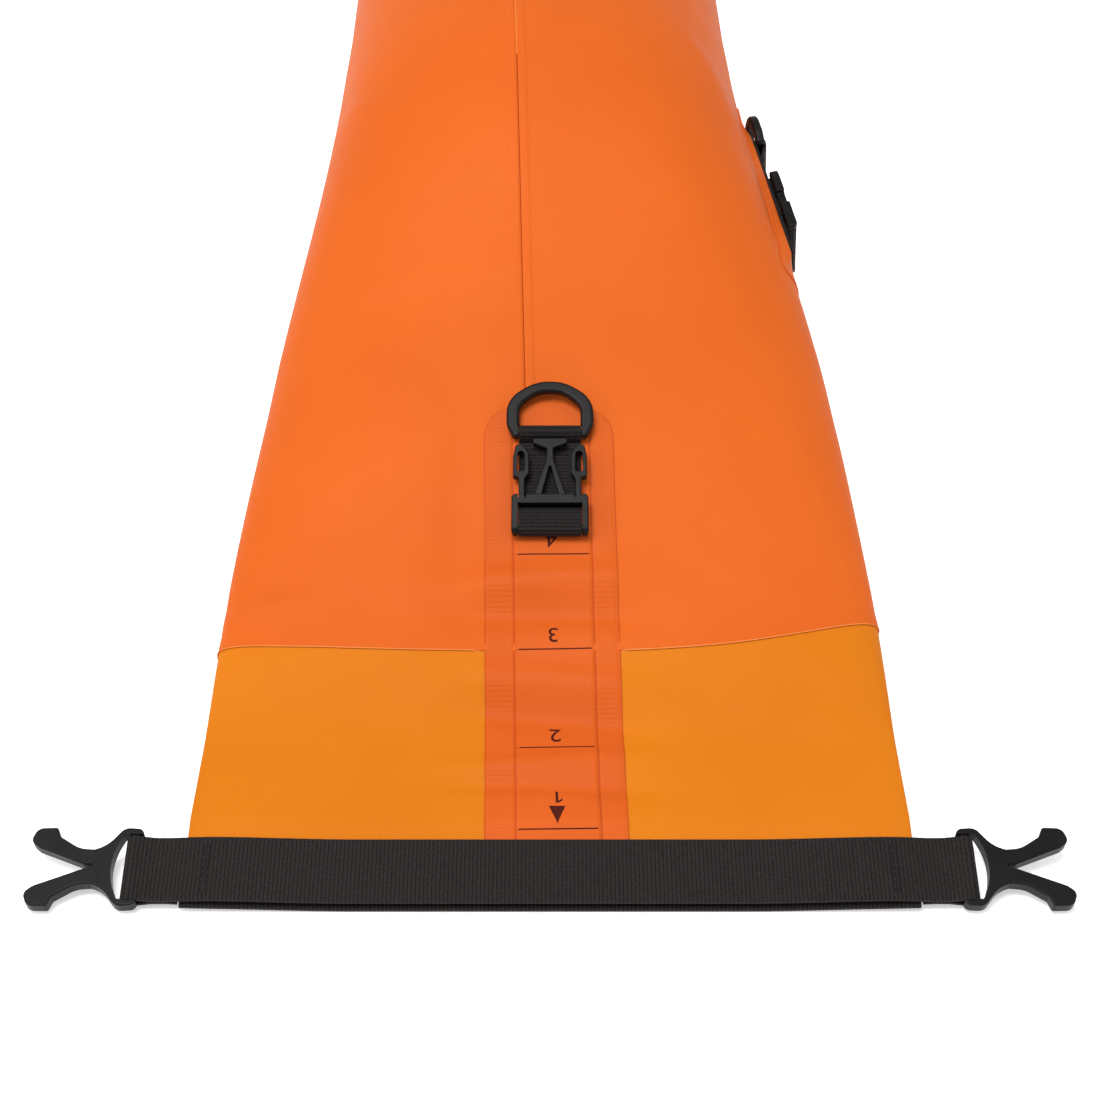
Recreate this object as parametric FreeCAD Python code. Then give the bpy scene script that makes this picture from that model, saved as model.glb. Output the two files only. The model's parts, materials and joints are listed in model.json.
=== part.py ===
"""Roll-top dry bag, lying on its back with the mouth pressed flat.

Millimetres. X runs across the bag, Y from the mouth to the round base, Z up.
The origin is on the flat of the back, half way along, so the floor is z = 0.
Places along the bag are given as v, the distance in Y from the mouth's lip.
"""
import FreeCAD, Part
import math
import os

V = FreeCAD.Vector

# ---- bag -------------------------------------------------------------------
LENGTH = 550.0            # lip to base
HALF = LENGTH / 2
WALL = 0.7                # coated fabric of mouth, collar and tube
FLAT_HALF = 131.0         # half of the mouth's flat width
GAP = 5.6                 # way in between the two faces of the mouth
TILT = 0.194              # rise of the drooping mouth over its length
FOLD_1 = 33.0             # first turn of the roll
FOLD_2 = 70.0             # second turn of the roll
FOLD_SLIT = 0.3           # half of the gap at a fold
SEAM = 110.0              # collar to tube
RIM_BAND = 12.0           # weld band at the base
SKIN = 0.6                # thickness of a welded band
ROOT = 2.5                # depth that a band starts with inside the bag, then cut away
RIM_ROOT = 0.5            # the same at the rim, less than the wall
END_WALL = 2.0            # from the tube's end to the end of the base
LIP = GAP + 2 * WALL

# Sections: v, half width, back height, front height, squareness of the corners, and
# x of the middle, because the filled end has slumped a little to one side.
MOUTH_BACK = 1.2
SECTIONS = [
    (0.0, FLAT_HALF, MOUTH_BACK, MOUTH_BACK + LIP, 5.0, 0.0),
    (FOLD_1, FLAT_HALF, MOUTH_BACK + TILT * FOLD_1, MOUTH_BACK + TILT * FOLD_1 + LIP, 5.0, 0.0),
    (FOLD_2, FLAT_HALF - 0.2, 5.8, 13.0, 4.4, 0.0),
    (105.0, 130.4, 0.6, 23.5, 3.0, 0.0),
    (145.0, 128.9, -1.0, 38.0, 2.5, 0.0),
    (185.0, 125.4, -1.6, 57.0, 2.2, 0.0),
    (225.0, 121.4, -2.4, 74.0, 2.0, 0.0),
    (265.0, 116.3, -3.0, 93.0, 2.0, -0.4),
    (325.0, 105.8, -4.0, 126.0, 2.0, -2.0),
    (385.0, 97.3, -4.0, 145.0, 2.0, -4.7),
    (465.0, 94.3, -3.5, 147.0, 2.0, -6.0),
    (LENGTH, 94.0, -2.0, 144.0, 2.0, -7.0),
]
LOOP_POINTS = 40

# ---- front strip and seam --------------------------------------------------
STRIP_WIDTH = 52.5
STRIP_SKIN = 0.8
STRIP_END = 206.0
STRIP_ROUND = 14.0        # length of the strip's rounded end
SEAM_WIDTH = 9.0
SEAM_X = -9.0

# ---- webbing ---------------------------------------------------------------
WEB_WIDTH = 25.0
WEB = 1.2
STIFFENER = (240.0, 17.0, 0.5)
FIT = 0.08                # running clearance of a bar in its loop

# ---- fork connector --------------------------------------------------------
FORK_BAR = 1.9
FORK_OUT = 18.5           # bar beyond the edge of the mouth
FORK_THICK = 5.0
FORK_RAIL = 12.9          # inside of the rails that hold the bar
FORK_HALF = 15.6
FORK_KNEE = (14.2, 3.4, 2.4)   # root of an arm: along, across, radius

# ---- side release buckle ---------------------------------------------------
BUCKLE_BAR = 1.7
BUCKLE_HALF = 15.3
BUCKLE_UNDER = -1.4       # underside, from the bar's axis
BUCKLE_OVER = 3.0
BUCKLE_KNEE = (12.2, 11.3, 1.42)
BAR_HEIGHT = 3.4          # bar's axis above its seat
RING_BAR = 1.6
RING_HEIGHT = 3.0
RING_HALF = 17.6
RING_THICK = 4.0
SIDE_RADIUS = 75.0        # roundness of the bag under the side patches

EDGE = 0.6                # rounding of the moulded edges


def blend(x0, x1, x2, x3, t):
    """Smooth curve through four neighbours, between the middle two."""
    a = 2 * x1
    b = x2 - x0
    c = 2 * x0 - 5 * x1 + 4 * x2 - x3
    d = 3 * x1 - x0 - 3 * x2 + x3
    return 0.5 * (a + b * t + c * t * t + d * t ** 3)


def section(v):
    """Half width, back height, front height, squareness and middle x at v."""
    last = len(SECTIONS) - 1
    i = max(k for k in range(last) if SECTIONS[k][0] <= v or k == 0)
    left, right = SECTIONS[i], SECTIONS[i + 1]
    t = (v - left[0]) / (right[0] - left[0])
    if v <= FOLD_2:
        return [a + (b - a) * t for a, b in zip(left[1:], right[1:])]
    before = SECTIONS[i - 1]
    after = SECTIONS[min(i + 2, last)]
    span = zip(before[1:], left[1:], right[1:], after[1:])
    return [blend(a, b, c, d, t) for a, b, c, d in span]


def front(x, v, lift=0.0):
    """Point on the bag's front at x and v, lifted off it."""
    a, low, high, square, shift = section(v)
    middle, b = (low + high) / 2, (high - low) / 2
    drop = (1 - min(abs(x - shift) / a, 1.0) ** square) ** (1 / square)
    return V(x, v - HALF, middle + b * drop + lift)


def side(v, angle, lift=0.0, sign=1):
    """Point on the bag's side at v, angle above the widest place. Sign -1 is the left side."""
    a, low, high, square, shift = section(v)
    middle, b = (low + high) / 2, (high - low) / 2
    c, s = math.cos(angle), math.sin(angle)
    x = math.copysign(abs(c) ** (2 / square), c) * (a + lift)
    z = math.copysign(abs(s) ** (2 / square), s) * (b + lift)
    return V(shift + sign * x, v - HALF, middle + z)


def ring(v, lift):
    """Closed wire round the bag at v."""
    points = [side(v, 2 * math.pi * k / LOOP_POINTS, lift) for k in range(LOOP_POINTS)]
    curve = Part.BSplineCurve()
    curve.interpolate(Points=points, PeriodicFlag=True, Parameters=list(range(LOOP_POINTS + 1)))
    return Part.Wire(curve.toShape())


def stations(v0, v1):
    inner = [s[0] for s in SECTIONS if v0 + 4 < s[0] < v1 - 4]
    return [v0] + inner + [v1]


def above(z):
    return Part.makeBox(600, 800, 400, V(-300, -400, z))


def solid_bag(v0, v1, lift=0.0):
    """The bag as one solid between v0 and v1, flattened where it lies on the floor."""
    loft = Part.makeLoft([ring(v, lift) for v in stations(v0, v1)], True, False)
    return loft.common(above(max(-lift, 0.0)))


def shell(v0, v1, outside=0.0, thick=WALL):
    """A length of fabric tube."""
    return solid_bag(v0, v1, outside).cut(solid_bag(v0, v1, outside - thick))


def skin(v0, v1, half, centre, thick, depth=0.0):
    """A thin strip lying on the bag's front, or reaching depth into it."""
    wires = []
    for v in stations(v0, v1):
        across = [centre - half + half * k / 4 for k in range(9)]
        low, high = Part.BSplineCurve(), Part.BSplineCurve()
        low.interpolate([front(x, v, -depth) for x in across])
        high.interpolate([front(x, v, thick) for x in across])
        a, b = low.toShape(), high.toShape()
        ends = [(front(across[k], v, -depth), front(across[k], v, thick)) for k in (0, -1)]
        sides = [Part.makeLine(*pair) for pair in ends]
        wires.append(Part.Wire([a, sides[1], b, sides[0]]))
    return Part.makeLoft(wires, True, False)


def write(name, shape, place=None):
    """Save one node, moved from its own frame to the bag's."""
    if place:
        shape = moved(shape, place)
    if shape.ShapeType == "Compound" and len(shape.Solids) == 1:
        shape = shape.Solids[0]
    assert shape.isValid() and shape.Volume > 0, name
    shape.exportStep("parts/" + name + ".step")


def moved(shape, place):
    copy = shape.copy()
    copy.Placement = place.multiply(shape.Placement)
    return copy


def frame_of(origin, along, across, normal):
    """Placement whose local x, y and z are the three directions given."""
    matrix = FreeCAD.Matrix(
        along.x, across.x, normal.x, origin.x,
        along.y, across.y, normal.y, origin.y,
        along.z, across.z, normal.z, origin.z,
        0, 0, 0, 1)
    return FreeCAD.Placement(matrix)


def rounded(points):
    """Closed wire through (x, y, corner radius) points."""
    edges, ends = [], []
    count = len(points)
    for k in range(count):
        here = V(points[k][0], points[k][1], 0)
        back = V(*points[k - 1][:2], 0) - here
        ahead = V(*points[(k + 1) % count][:2], 0) - here
        radius = points[k][2]
        if radius == 0:
            ends.append((here, None, here))
            continue
        half = back.getAngle(ahead) / 2
        reach = radius / math.tan(half)
        start = here + back.normalize() * reach
        end = here + ahead.normalize() * reach
        middle = (start + end) / 2 - here
        centre = here + middle.normalize() * (radius / math.sin(half))
        near = centre + (here - centre).normalize() * radius
        ends.append((start, near, end))
    for k in range(count):
        start, near, end = ends[k]
        if near:
            edges.append(Part.Arc(start, near, end).toShape())
        follow = ends[(k + 1) % count][0]
        if end.distanceToPoint(follow) > 1e-6:
            edges.append(Part.makeLine(end, follow))
    return Part.Wire(edges)


def plate(points, low, high, edge=EDGE, plain=None):
    """A moulded plate. Its outline's edges are rounded, but not one that lies at x = plain."""
    wire = rounded(points)
    face = Part.Face(wire)
    face.translate(V(0, 0, low))
    solid = face.extrude(V(0, 0, high - low))
    if edge:
        rims = [e for e in solid.Edges if abs(e.BoundBox.ZMax - e.BoundBox.ZMin) < 1e-6
                and (plain is None or max(abs(e.BoundBox.XMin - plain), abs(e.BoundBox.XMax - plain)) > 1e-3)]
        solid = solid.makeFillet(edge, rims)
    return solid


def drum(radius, x, y, low, high):
    return Part.makeCylinder(radius, high - low, V(x, y, low))


def bar(radius, x, half, z=0.0):
    """Round bar across a buckle, fork or ring."""
    return Part.makeCylinder(radius, 2 * half, V(x, -half, z), V(0, 1, 0))


def mirror(points):
    return points + [(x, -y, r) for x, y, r in reversed(points)]


# ---- moulded pieces, each in its own frame: x along, y across, z up ---------
def fork_base():
    x, y, r = FORK_KNEE
    outline = mirror([
        (-2.9, 15.1, 2.4), (4.2, FORK_HALF, 4.2), (9.8, 8.3, 12.0), (x, 6.8, 0.0)])
    body = plate(outline, -FORK_THICK / 2, FORK_THICK / 2, EDGE, x)
    arc = Part.Arc(V(3.8, FORK_RAIL, -9), V(7.3, 0, -9), V(3.8, -FORK_RAIL, -9)).toShape()
    rest = Part.makePolygon([V(3.8, -FORK_RAIL, -9), V(-9, -FORK_RAIL, -9),
                             V(-9, FORK_RAIL, -9), V(3.8, FORK_RAIL, -9)])
    window = Part.Face(Part.Wire([arc] + rest.Edges)).extrude(V(0, 0, 18))
    body = body.cut(window).fuse(bar(FORK_BAR, 0, FORK_RAIL + 1))
    for sign in (1, -1):
        body = body.cut(drum(r + FIT, x, sign * y, -9, 9))
    return body.removeSplitter()


def fork_arm(sign):
    x, y, r = FORK_KNEE
    root = x + 0.12
    outline = [
        (root, 6.8, 0.0), (root, y, 0.0), (14.9, 0.8, 0.0), (17.2, 0.8, 1.0), (34.2, 7.5, 4.0),
        (37.6, 10.2, 2.8), (35.6, 15.4, 3.4), (28.4, 15.6, 1.1), (27.0, 12.0, 1.2),
        (19.6, 7.2, 10.0)]
    arm = plate(outline, -FORK_THICK / 2, FORK_THICK / 2, EDGE, root)
    arm = arm.fuse(drum(r, x, y, -FORK_THICK / 2, FORK_THICK / 2))
    if sign < 0:
        arm = arm.mirror(V(0, 0, 0), V(0, 1, 0))
    return arm


def buckle_base():
    """Frame with its bar, and the forked guide between the arms."""
    x, y, r = BUCKLE_KNEE
    corner = BUCKLE_HALF - 1.6
    outline = mirror([(-2.8, BUCKLE_HALF, 1.6), (14.2, BUCKLE_HALF, 1.8)])
    body = plate(outline, BUCKLE_UNDER, BUCKLE_OVER)
    round_end = Part.makeCylinder(3.05, 60, V(0, -30, 0), V(0, 1, 0))
    body = body.common(round_end.fuse(Part.makeBox(30, 60, 30, V(0, -30, -15))))
    window = Part.makeBox(15.2, 2 * 12.9, 18, V(-5, -12.9, -9))
    body = body.cut(window).fuse(bar(BUCKLE_BAR, 0, corner))
    for sign in (1, -1):
        inner = 1.9 if sign > 0 else 1.55
        body = body.cut(drum(r + FIT, x, sign * y, -9, 9))
        body = body.cut(Part.makeBox(4, 3.45, 18, V(x, sign * y - inner, -9)))
    guide = plate(mirror([
        (13.6, 6.4, 0.0), (29.0, 1.5, 1.0), (34.4, 1.2, 0.8), (36.6, 6.6, 0.6), (38.8, 7.2, 0.8)]),
        -0.6, 2.4, 0.4)
    notch = Part.Face(rounded([(13.0, 3.9, 0.0), (26.6, 0.5, 0.4), (26.6, -0.5, 0.4), (13.0, -3.9, 0.0)]))
    notch.translate(V(0, 0, -5))
    guide = guide.cut(notch.extrude(V(0, 0, 12)).common(Part.makeBox(30, 20, 20, V(14.2, -10, -5))))
    return body.fuse(guide).removeSplitter()


def buckle_arm(sign):
    x, y, r = BUCKLE_KNEE
    low, high = -1.0, 2.7
    outline = [
        (x, y - 1.2, 0.0), (20.8, y - 1.2, 2.0), (23.4, 8.3, 2.2), (31.8, 8.4, 3.6),
        (36.4, 11.0, 2.0), (35.6, 13.9, 1.6), (30.4, 14.8, 4.4), (21.8, 14.8, 0.8),
        (21.6, y + 1.2, 1.0), (x, y + 1.2, 0.0)]
    arm = plate(outline, low, high, 0.5)
    slot = Part.Face(rounded([(23.8, 9.8, 1.4), (33.0, 10.2, 1.4), (33.0, 13.0, 1.3), (23.8, 13.4, 1.4)]))
    slot.translate(V(0, 0, -5))
    arm = arm.cut(slot.extrude(V(0, 0, 12)))
    arm = arm.fuse(drum(r, x, y, low, high))
    if sign < 0:
        arm = arm.mirror(V(0, 0, 0), V(0, 1, 0))
    return arm


def d_ring():
    outer = plate(mirror([
        (-2.6, 14.9, 2.0), (3.4, RING_HALF, 5.0), (14.8, RING_HALF, 12.0), (22.5, 5.6, 17.0)]),
        0, RING_THICK, 0)
    inner = plate(mirror([(2.0, 12.4, 1.5), (11.6, 12.4, 6.0), (17.8, 4.8, 11.0)]), 0, RING_THICK, 0)
    solid = outer.cut(inner)
    rims = [e for e in solid.Edges if abs(e.BoundBox.ZMax - e.BoundBox.ZMin) < 1e-6]
    solid = solid.makeFillet(1.2, rims)
    solid = solid.cut(Part.makeBox(7.1, 25.8, 10, V(-4, -12.9, -3)))
    solid.translate(V(0, 0, -RING_THICK / 2))
    return solid.fuse(bar(RING_BAR, 0, 13.4)).removeSplitter()


def strap(bar_at, ring_at, tail, tongue):
    """Sewn webbing with a loop at the buckle's bar and one at the ring's bar."""
    def box(x0, x1, z0, z1):
        return Part.makeBox(x1 - x0, WEB_WIDTH, z1 - z0, V(x0, -WEB_WIDTH / 2, z0))

    def slope(points):
        wire = Part.makePolygon([V(x, -WEB_WIDTH / 2, z) for x, z in points + points[:1]])
        return Part.Face(wire).extrude(V(0, WEB_WIDTH, 0))

    def loop(x, z, radius):
        tube = bar(radius + FIT + WEB, x, WEB_WIDTH / 2, z)
        return tube, bar(radius + FIT, x, WEB_WIDTH, z)

    outer_a, hole_a = loop(bar_at, BAR_HEIGHT, BUCKLE_BAR)
    outer_b, hole_b = loop(ring_at, RING_HEIGHT, RING_BAR)
    low_a, high_a = BAR_HEIGHT + BUCKLE_BAR + FIT, BAR_HEIGHT + BUCKLE_BAR + FIT + WEB
    flap = bar_at + 7.0
    pieces = [
        box(bar_at - tail, ring_at, 0.0, WEB),
        box(bar_at, flap, low_a, high_a),
        slope([(flap, high_a), (flap, low_a), (flap + 1.4, WEB - 0.1), (flap + 2.7, WEB - 0.1)]),
        outer_a, outer_b]
    if tongue:
        low_b, high_b = RING_HEIGHT + RING_BAR + FIT, RING_HEIGHT + RING_BAR + FIT + WEB
        pieces.append(slope([
            (ring_at, high_b), (ring_at, low_b), (ring_at - tongue, WEB - 0.1),
            (ring_at - tongue, 2 * WEB)]))
    body = pieces[0]
    for piece in pieces[1:]:
        body = body.fuse(piece)
    return body.cut(hole_a).cut(hole_b).removeSplitter()


# ---- seats: where a set of webbing, ring and buckle lies on the bag ---------
def seat(point, v0, v1, reach, spare):
    """Frame on the plane that clears the bag between v0 and v1."""
    start, end = point(v0, 0.0), point(v1, 0.0)
    along = (end - start).normalize()
    wide = point((v0 + v1) / 2, reach) - point((v0 + v1) / 2, -reach)
    normal = along.cross(wide).normalize()
    across = normal.cross(along)
    origin = (start + end) / 2
    bulge = max((point(v0 + (v1 - v0) * k / 12, w) - origin).dot(normal)
                for k in range(13) for w in (-reach, 0, reach))
    return frame_of(origin + normal * (bulge + spare), along, across, normal)


def front_point(v, w):
    return front(-w, v, STRIP_SKIN)


def side_point(sign, angle):
    def point(v, w):
        return side(v, angle + sign * w / SIDE_RADIUS, 0.0, sign)
    return point


# Name: where it sits, ends of its stretch of the bag, half width, clearance above
# the bag, bar and ring along it, its tail and tongue, and both ends of its patch.
SETS = {
    "front": (front_point, 146.0, 200.0, 12.5, 0.0, -21.8, 20.8, 3.0, 0.0, None),
    "right": (side_point(1, math.radians(4)), 304.0, 404.0, 15.0, 0.5, -31.8, 25.6, 16.0, 10.0, (-62.0, 50.0)),
    "left": (side_point(-1, math.radians(-25)), 304.0, 404.0, 15.0, 0.5, -31.8, 25.6, 16.0, 10.0, (-62.0, 50.0)),
}


def make_sets(bag, strip):
    for name, values in SETS.items():
        point, v0, v1, reach, spare, bar_at, ring_at, tail, tongue, patch = values
        place = seat(point, v0, v1, reach, spare)
        webbing = strap(bar_at, ring_at, tail, tongue)
        if patch:
            slab = plate(mirror([(patch[0], 17.5, 4.0), (patch[1], 17.5, 4.0)]), -9.0, 0.0, 0)
            write(name + "_patch", moved(slab, place).cut(bag))
            write(name + "_strap", webbing, place)
        else:
            under = Part.makeBox(ring_at - bar_at + tail, WEB_WIDTH, 2.0,
                                 V(bar_at - tail, -WEB_WIDTH / 2, -2.0))
            sewn = moved(webbing.fuse(under), place).cut(bag).cut(strip)
            write(name + "_strap", max(sewn.Solids, key=lambda solid: solid.Volume))
        bar_place = place.multiply(FreeCAD.Placement(V(bar_at, 0, BAR_HEIGHT), FreeCAD.Rotation()))
        ring_place = place.multiply(FreeCAD.Placement(V(ring_at, 0, RING_HEIGHT), FreeCAD.Rotation()))
        write(name + "_buckle_frame", buckle_base(), bar_place)
        write(name + "_buckle_arm_a", buckle_arm(1), bar_place)
        write(name + "_buckle_arm_b", buckle_arm(-1), bar_place)
        write(name + "_d_ring", d_ring(), ring_place)
        report(name, place, bar_place, ring_place)


def report(name, place, bar_place, ring_place):
    """Print the axes that the joints turn about."""
    def show(word, vector):
        print(name, word, [round(c, 5) for c in vector])
    turn = place.Rotation
    show("bar", bar_place.Base)
    show("ring", ring_place.Base)
    show("across", turn.multVec(V(0, 1, 0)))
    show("normal", turn.multVec(V(0, 0, 1)))
    for sign in (1, -1):
        knee = bar_place.multVec(V(BUCKLE_KNEE[0], sign * BUCKLE_KNEE[1], 0))
        show("knee", knee)


# ---- the mouth's own frame: y along the drooping lip, z off its front -------
def mouth_frame():
    angle = math.degrees(math.atan(TILT))
    return FreeCAD.Placement(V(0, -HALF, MOUTH_BACK + LIP), FreeCAD.Rotation(V(1, 0, 0), angle))


def make_mouth():
    place = mouth_frame()
    stack = LIP * math.cos(math.atan(TILT))
    middle = -stack / 2
    length, width, thick = STIFFENER
    inset = (WEB_WIDTH - width) / 2
    loop_x = FLAT_HALF + FORK_OUT
    outer = FORK_BAR + FIT + WEB
    inner = FORK_BAR + FIT

    def band(low):
        return Part.makeBox(2 * FLAT_HALF, WEB_WIDTH, WEB, V(-FLAT_HALF, 0, low))

    def layer(sign, near, far):
        points = [(FLAT_HALF, near), (FLAT_HALF, near + WEB), (loop_x, far + WEB), (loop_x, far)]
        wire = Part.makePolygon([V(sign * x, 0, z) for x, z in points + points[:1]])
        return Part.Face(wire).extrude(V(0, WEB_WIDTH, 0))

    front_band = band(0)
    for sign in (1, -1):
        front_band = front_band.fuse(layer(sign, 0, middle + inner))
        front_band = front_band.fuse(layer(sign, -stack - WEB, middle - outer))
        centre = V(sign * loop_x, 0, middle)
        front_band = front_band.fuse(Part.makeCylinder(outer, WEB_WIDTH, centre, V(0, 1, 0)))
    for sign in (1, -1):
        centre = V(sign * loop_x, -5, middle)
        front_band = front_band.cut(Part.makeCylinder(inner, WEB_WIDTH + 10, centre, V(0, 1, 0)))
    front_stiff = Part.makeBox(length, width, thick, V(-length / 2, inset, 0))
    back_stiff = Part.makeBox(length, width, thick, V(-length / 2, inset, -stack - thick))
    write("front_webbing", front_band.cut(front_stiff), place)
    write("back_webbing", band(-stack - WEB).cut(back_stiff), place)
    write("front_stiffener", front_stiff, place)
    write("back_stiffener", back_stiff, place)
    for name, sign in (("right", 1), ("left", -1)):
        spin = FreeCAD.Rotation() if sign > 0 else FreeCAD.Rotation(V(0, 0, 1), 180)
        there = place.multiply(FreeCAD.Placement(V(sign * loop_x, WEB_WIDTH / 2, middle), spin))
        write(name + "_fork_base", fork_base(), there)
        write(name + "_fork_arm_a", fork_arm(1), there)
        write(name + "_fork_arm_b", fork_arm(-1), there)
        print(name, "fork", [round(c, 4) for c in there.Base])
        for side_sign in (1, -1):
            knee = there.multVec(V(FORK_KNEE[0], side_sign * FORK_KNEE[1], 0))
            print(name, "fork knee", [round(c, 4) for c in knee])
    print("mouth across", place.Rotation.multVec(V(0, 1, 0)), "normal", place.Rotation.multVec(V(0, 0, 1)))


def make_fabric(bag):
    write("mouth_hem", shell(0.8, FOLD_1 - FOLD_SLIT))
    write("fold_band", shell(FOLD_1 + FOLD_SLIT, FOLD_2 - FOLD_SLIT))
    write("collar", shell(FOLD_2 + FOLD_SLIT, SEAM))
    write("body_tube", shell(SEAM, LENGTH - END_WALL))
    write("base_disc", solid_bag(LENGTH - END_WALL, LENGTH - 0.6, -WALL))
    rim = shell(LENGTH - RIM_BAND, LENGTH - 0.6, SKIN, SKIN + RIM_ROOT)
    write("base_rim_band", rim.cut(bag))


def make_strip(bag):
    """Welded strip and seam. What reaches into the bag is cut away, so both lie on it."""
    half = STRIP_WIDTH / 2
    write("strip_mouth", skin(WEB_WIDTH + 1.0, FOLD_1 - FOLD_SLIT, half, 0.0, STRIP_SKIN))
    write("strip_fold", skin(FOLD_1 + FOLD_SLIT, FOLD_2 - FOLD_SLIT, half, 0.0, STRIP_SKIN))
    main = skin(FOLD_2 + FOLD_SLIT, STRIP_END, half, 0.0, STRIP_SKIN, ROOT)
    start = FOLD_2 - 5 - HALF
    outline = plate([
        (start, -half - 1, 0.0), (STRIP_END - HALF, -half - 0.0, STRIP_ROUND),
        (STRIP_END - HALF, half + 0.0, STRIP_ROUND), (start, half + 1, 0.0)], -5, 200, 0)
    outline.rotate(V(0, 0, 0), V(0, 0, 1), 90)
    main = main.common(outline).cut(solid_bag(FOLD_2 + FOLD_SLIT, SEAM)).cut(bag)
    write("strip_main", main)
    seam = skin(STRIP_END + 1.0, LENGTH - RIM_BAND - 1, SEAM_WIDTH / 2, SEAM_X, SKIN, ROOT)
    write("front_seam", seam.cut(bag))
    return main


def main():
    os.makedirs("parts", exist_ok=True)
    bag = solid_bag(SEAM, LENGTH - END_WALL)
    make_fabric(bag)
    strip = make_strip(bag)
    make_mouth()
    make_sets(bag, strip)


main()
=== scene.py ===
# %% [markdown]
# A roll-top dry bag
#
# The bag lies on its back with the mouth pressed flat towards us. The rigid pieces, the rings,
# forks and buckles, come ready made from the CAD frame. Everything soft is made here: the tube,
# the collar, the welded strip, the webbing. Lengths in this script are in metres.

# %% Load the frame
import bmesh
import bpy
import json
import math
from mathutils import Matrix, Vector, noise
from mathutils.bvhtree import BVHTree


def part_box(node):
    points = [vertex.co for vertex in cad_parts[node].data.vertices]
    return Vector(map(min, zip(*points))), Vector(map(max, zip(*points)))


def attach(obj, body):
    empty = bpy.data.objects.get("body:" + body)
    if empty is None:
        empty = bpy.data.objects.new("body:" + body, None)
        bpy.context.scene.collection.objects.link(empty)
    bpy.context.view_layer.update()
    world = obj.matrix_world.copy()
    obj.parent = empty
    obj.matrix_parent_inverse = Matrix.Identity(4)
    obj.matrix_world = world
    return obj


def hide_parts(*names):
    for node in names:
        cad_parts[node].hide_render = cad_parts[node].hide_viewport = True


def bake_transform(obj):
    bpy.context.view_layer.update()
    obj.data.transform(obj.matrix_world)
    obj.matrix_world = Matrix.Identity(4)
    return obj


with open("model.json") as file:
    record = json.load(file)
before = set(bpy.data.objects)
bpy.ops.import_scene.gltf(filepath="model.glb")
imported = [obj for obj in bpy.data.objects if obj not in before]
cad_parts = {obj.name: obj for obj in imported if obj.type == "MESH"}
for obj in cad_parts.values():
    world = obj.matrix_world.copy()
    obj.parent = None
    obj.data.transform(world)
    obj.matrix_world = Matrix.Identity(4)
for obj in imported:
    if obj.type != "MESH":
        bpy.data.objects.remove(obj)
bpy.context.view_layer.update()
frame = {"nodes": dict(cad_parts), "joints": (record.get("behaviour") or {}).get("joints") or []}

# %% [markdown]
# Millimetres are easier to think in for a bag, so MM turns them into metres. The bag's length and
# the place of its lip come from the frame: the tube ends at the base, and the hem begins at the lip.
# ROUND_RADIUS is the bag's radius if it were blown up round. It gives sheets their real width.

# %% Driving sizes
MM = 0.001
TUBE_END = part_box("body_tube")[1].y
LIP_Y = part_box("mouth_hem")[0].y - 0.8 * MM
LENGTH = (TUBE_END - LIP_Y) / MM + 2.0
HALF_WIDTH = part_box("mouth_hem")[1].x / MM
BAND_MIDDLE, FOLD_2 = 50.0, 70.0
ROUND_RADIUS = 83.7
WEB_WIDTH = 25.0
STRIP_HALF = 26.25
COLUMN_HALF = 14.8
COLUMN_SHIFT = 0.8
STRIP_END = 206.0
print("length", round(LENGTH, 1), "half width", round(HALF_WIDTH, 1))

# %% [markdown]
# The bag's shape changes from a flat slot at the mouth to a round base. A few sections describe it:
# the distance from the lip, the half width, the height of the back and of the front, how square
# the corners are, and where the middle is, because the filled end has slumped to one side. A smooth
# curve runs through the same numbers from one section to the next.

# %% Sections of the bag
SECTIONS = [
    (0.0, 131.0, 1.2, 8.2, 5.0, 0.0), (33.0, 131.0, 7.6, 14.6, 5.0, 0.0),
    (70.0, 130.8, 5.8, 13.0, 4.4, 0.0), (105.0, 130.4, 0.6, 23.5, 3.0, 0.0),
    (145.0, 128.9, -1.0, 38.0, 2.5, 0.0), (185.0, 125.4, -1.6, 57.0, 2.2, 0.0),
    (225.0, 121.4, -2.4, 74.0, 2.0, 0.0), (265.0, 116.3, -3.0, 93.0, 2.0, -0.4),
    (325.0, 105.8, -4.0, 126.0, 2.0, -2.0), (385.0, 97.3, -4.0, 145.0, 2.0, -4.7),
    (465.0, 94.3, -3.5, 147.0, 2.0, -6.0), (550.0, 94.0, -2.0, 144.0, 2.0, -7.0)]


def ease(low, high, value):
    """0 below low, 1 above high, and a smooth step between."""
    t = min(max((value - low) / (high - low), 0.0), 1.0)
    return t * t * (3 - 2 * t)


def mix(a, b, t):
    return a + (b - a) * t


def through(p, t):
    """Smooth curve through four neighbours, between the middle two."""
    bend = 2 * p[0] - 5 * p[1] + 4 * p[2] - p[3]
    twist = 3 * p[1] - p[0] - 3 * p[2] + p[3]
    return 0.5 * (2 * p[1] + (p[2] - p[0]) * t + bend * t * t + twist * t ** 3)


def section(v):
    """Half width, back, front, squareness and middle x at v."""
    last = len(SECTIONS) - 1
    i = 0
    while i < last - 1 and SECTIONS[i + 1][0] <= v:
        i += 1
    t = (v - SECTIONS[i][0]) / (SECTIONS[i + 1][0] - SECTIONS[i][0])
    rows = [SECTIONS[max(i - 1, 0)], SECTIONS[i], SECTIONS[i + 1], SECTIONS[min(i + 2, last)]]
    if v <= FOLD_2:
        return [mix(a, b, t) for a, b in zip(rows[1][1:], rows[2][1:])]
    return [through(column, t) for column in list(zip(*rows))[1:]]


print("half width half way along", round(section(LENGTH / 2)[0], 1))


# %% [markdown]
# A real mouth is pressed flat: only the two fabrics and a little air lie between the webbings. The
# press share is 1 at the lip and fades towards the tube. The middle of the lip also sags a little
# between its two connectors.

# %% The pressed mouth
PRESSED_HALF = 1.1
SAG = 1.6


def pressed(v):
    return 1 - ease(34.0, 112.0, v)


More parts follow.
